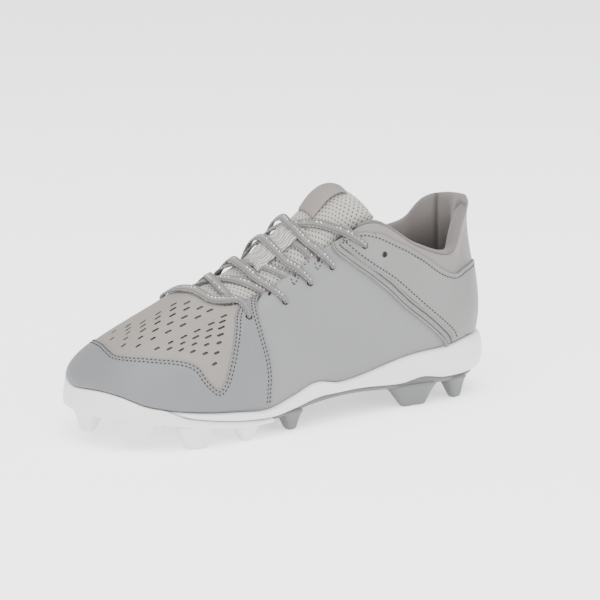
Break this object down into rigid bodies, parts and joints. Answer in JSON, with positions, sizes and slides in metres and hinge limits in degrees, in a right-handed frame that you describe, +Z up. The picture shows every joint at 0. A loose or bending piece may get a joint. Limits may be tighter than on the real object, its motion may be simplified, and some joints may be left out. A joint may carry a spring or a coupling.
{
  "type": "baseball cleat",
  "caption": "Low-cut baseball cleat: hollow upper with padded collar, tongue and laces on a midsole and outsole with moulded studs.",
  "frame": {"origin": "middle of the shoe's bounding box, on the ground under its studs", "axes": "+X from heel to toe, +Y to the outer side of the foot, +Z up"},
  "size_m": [0.2938, 0.1076, 0.1444],
  "materials": {
    "sole_white": "smooth moulded",
    "sole_grey": "smooth moulded",
    "vamp": "matte synthetic leather",
    "overlay": "matte synthetic leather",
    "lining": "padded textile",
    "lace": "woven"
  },
  "bodies": {
    "root": {"outsole_front": "sole_white", "outsole_rear": "sole_grey", "midsole": "sole_white", "insole": "lining", "upper": "vamp", "toe_guard": "overlay", "ankle_panel": "overlay", "side_band_outer": "overlay", "side_band_inner": "overlay", "collar_lining": "lining", "tongue": "lining", "pull_strap": "overlay", "lace_keeper": "lace", "lace_bar": "lace", "lace_row_1": "lace", "lace_row_2": "lace", "lace_row_3": "lace"}
  },
  "joints": []
}
